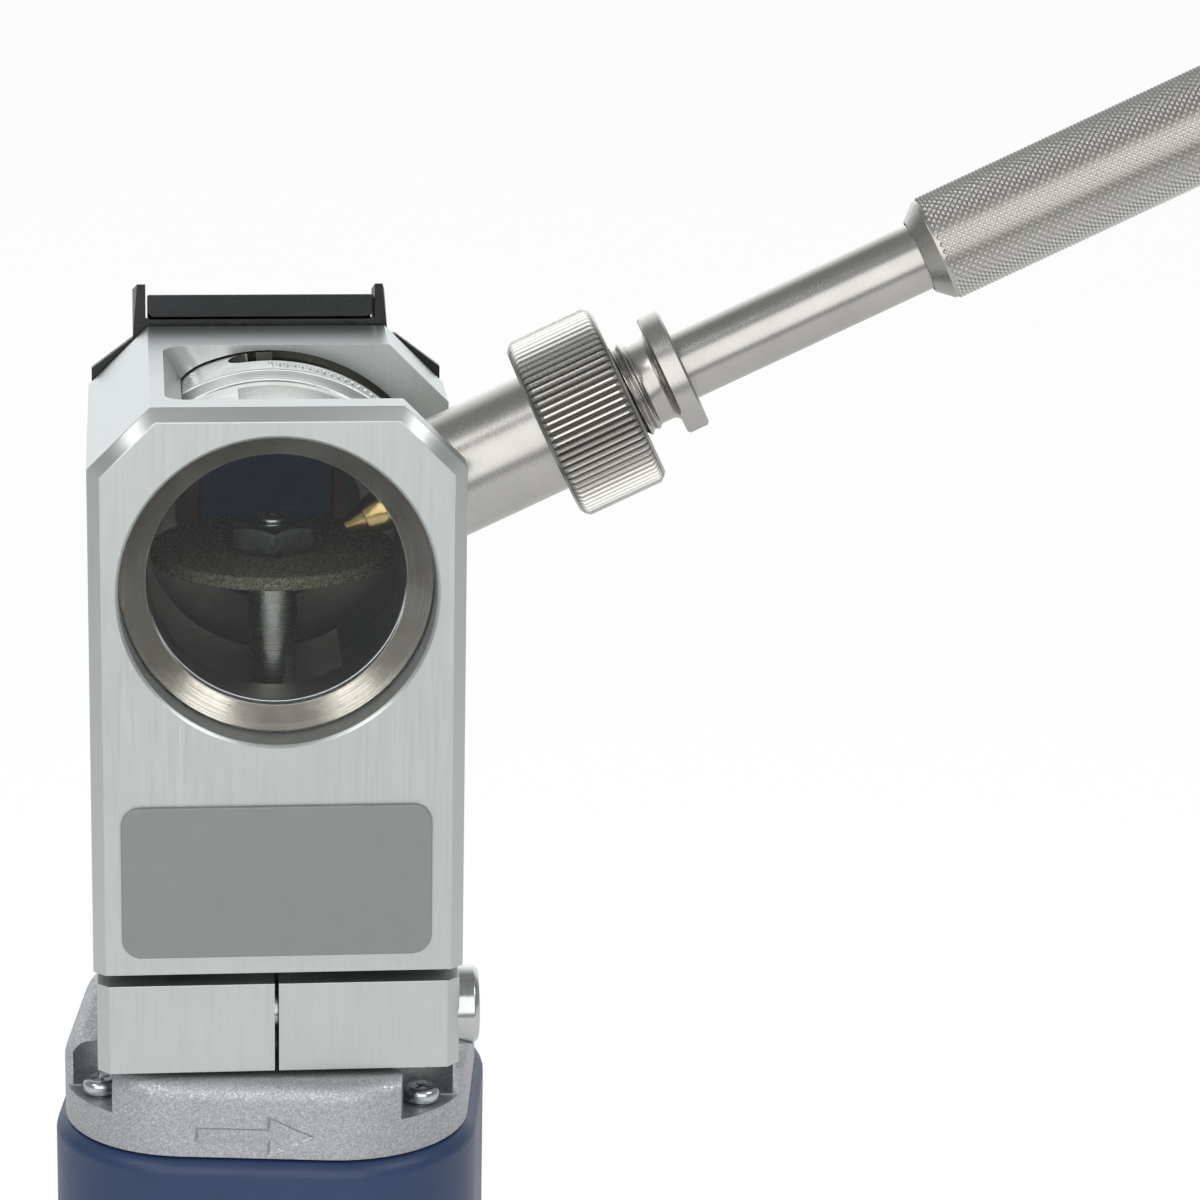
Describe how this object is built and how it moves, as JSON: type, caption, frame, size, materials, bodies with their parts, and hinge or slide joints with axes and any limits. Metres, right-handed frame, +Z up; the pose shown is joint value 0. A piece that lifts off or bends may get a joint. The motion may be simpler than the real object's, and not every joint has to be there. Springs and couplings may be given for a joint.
{
  "type": "tungsten electrode grinder",
  "caption": "Upright motor with a milled aluminium head, round window, diamond disc inside and a long knurled electrode holder on a swivelling drum.",
  "frame": {"origin": "on the motor axis, in the plane of the flat foot", "axes": "+Z up the motor axis, -Y towards the window, +X towards the electrode holder"},
  "size_m": [0.2257, 0.0797, 0.4156],
  "materials": {
    "blue_housing": "satin injection-moulded plastic, navy blue",
    "black_plastic": "fine matt moulded plastic",
    "rubber": "matt moulded rubber",
    "milled_aluminium": "milled and finely brushed, clear anodised",
    "turned_aluminium": "turned with fine feed marks",
    "cast_aluminium": "bead-blasted casting",
    "turned_steel": "turned stainless steel",
    "knurled_steel": "knurled stainless steel",
    "zinc_steel": "bright zinc plate",
    "bearing_steel": "ground steel",
    "laminated_steel": "varnished laminations",
    "copper": "turned copper bars",
    "brass": "turned brass",
    "clear_lens": "clear polycarbonate with a machined rim",
    "diamond_grit": "diamond grit in a metal bond",
    "satin_plate": "satin grey plate, left bare",
    "black_paint": "fine-textured powder coat",
    "carbon": "pressed carbon",
    "cardboard": "brown board",
    "fleece": "blue filter fleece"
  },
  "bodies": {
    "housing": {"rear_cap": "blue_housing", "motor_housing": "blue_housing", "switch_body": "black_plastic", "brush_cap_left": "black_plastic", "brush_cap_right": "black_plastic", "cable_inlet": "rubber", "head_block": "milled_aluminium", "drum_retainer": "turned_aluminium", "bearing_flange": "cast_aluminium", "clamp_screw": "zinc_steel", "drum_lock_screw": "zinc_steel", "rear_cap_screw_1": "zinc_steel", "rear_cap_screw_2": "zinc_steel", "flange_screw_1": "zinc_steel", "flange_screw_2": "zinc_steel", "flange_screw_3": "zinc_steel", "flange_screw_4": "zinc_steel", "filter_holder_screw_1": "zinc_steel", "filter_holder_screw_2": "zinc_steel", "filter_holder_screw_3": "zinc_steel", "filter_holder_screw_4": "zinc_steel", "front_bearing": "bearing_steel", "rear_bearing": "bearing_steel", "field_core": "laminated_steel", "brush_holder_left": "brass", "brush_holder_right": "brass", "window_lens": "clear_lens", "name_plate": "satin_plate", "filter_holder": "black_paint", "carbon_brush_left": "carbon", "carbon_brush_right": "carbon"},
    "spindle": {"armature_shaft": "bearing_steel", "armature_core": "laminated_steel", "commutator": "copper", "cooling_fan": "black_plastic", "collet": "turned_steel", "collet_nut": "turned_steel", "disc_mandrel": "turned_steel", "grinding_disc": "diamond_grit", "disc_nut": "zinc_steel"},
    "swivel": {"swivel_drum": "turned_aluminium", "guide_tube": "turned_steel"},
    "clamp_nut_body": {"clamp_nut": "knurled_steel"},
    "sleeve": {"adjusting_sleeve": "turned_steel"},
    "holder": {"holder_tube": "turned_steel", "handle_grip": "knurled_steel", "handle_cap": "knurled_steel", "electrode_nozzle": "brass"},
    "filter": {"filter_slide": "black_paint", "filter_frame": "cardboard", "filter_fleece": "fleece"},
    "switch": {"switch_slider": "black_plastic"}
  },
  "joints": [
    {"name": "spindle_spin", "type": "hinge", "parent": "housing", "child": "spindle", "pos_m": [0, 0, 0.3], "axis": [0, 0, 1], "continuous": true},
    {"name": "angle_tilt", "type": "hinge", "parent": "housing", "child": "swivel", "pos_m": [0, -0.009, 0.3201], "axis": [0, -1, 0], "range_deg": [-13.4, 64.6]},
    {"name": "clamp_nut_turn", "type": "hinge", "parent": "swivel", "child": "clamp_nut_body", "pos_m": [0, -0.009, 0.3201], "axis": [0.9033, 0, 0.4289], "range_deg": [0, 270]},
    {"name": "holder_slide", "type": "slide", "parent": "swivel", "child": "sleeve", "axis": [0.9033, 0, 0.4289], "range_m": [0, 0.06]},
    {"name": "holder_spin", "type": "hinge", "parent": "sleeve", "child": "holder", "pos_m": [0, -0.009, 0.3201], "axis": [0.9033, 0, 0.4289], "continuous": true},
    {"name": "filter_lift", "type": "slide", "parent": "housing", "child": "filter", "axis": [0, 0, 1], "range_m": [0, 0.06]},
    {"name": "switch_slide", "type": "slide", "parent": "housing", "child": "switch", "axis": [0, 0, 1], "range_m": [0, 0.005]}
  ]
}
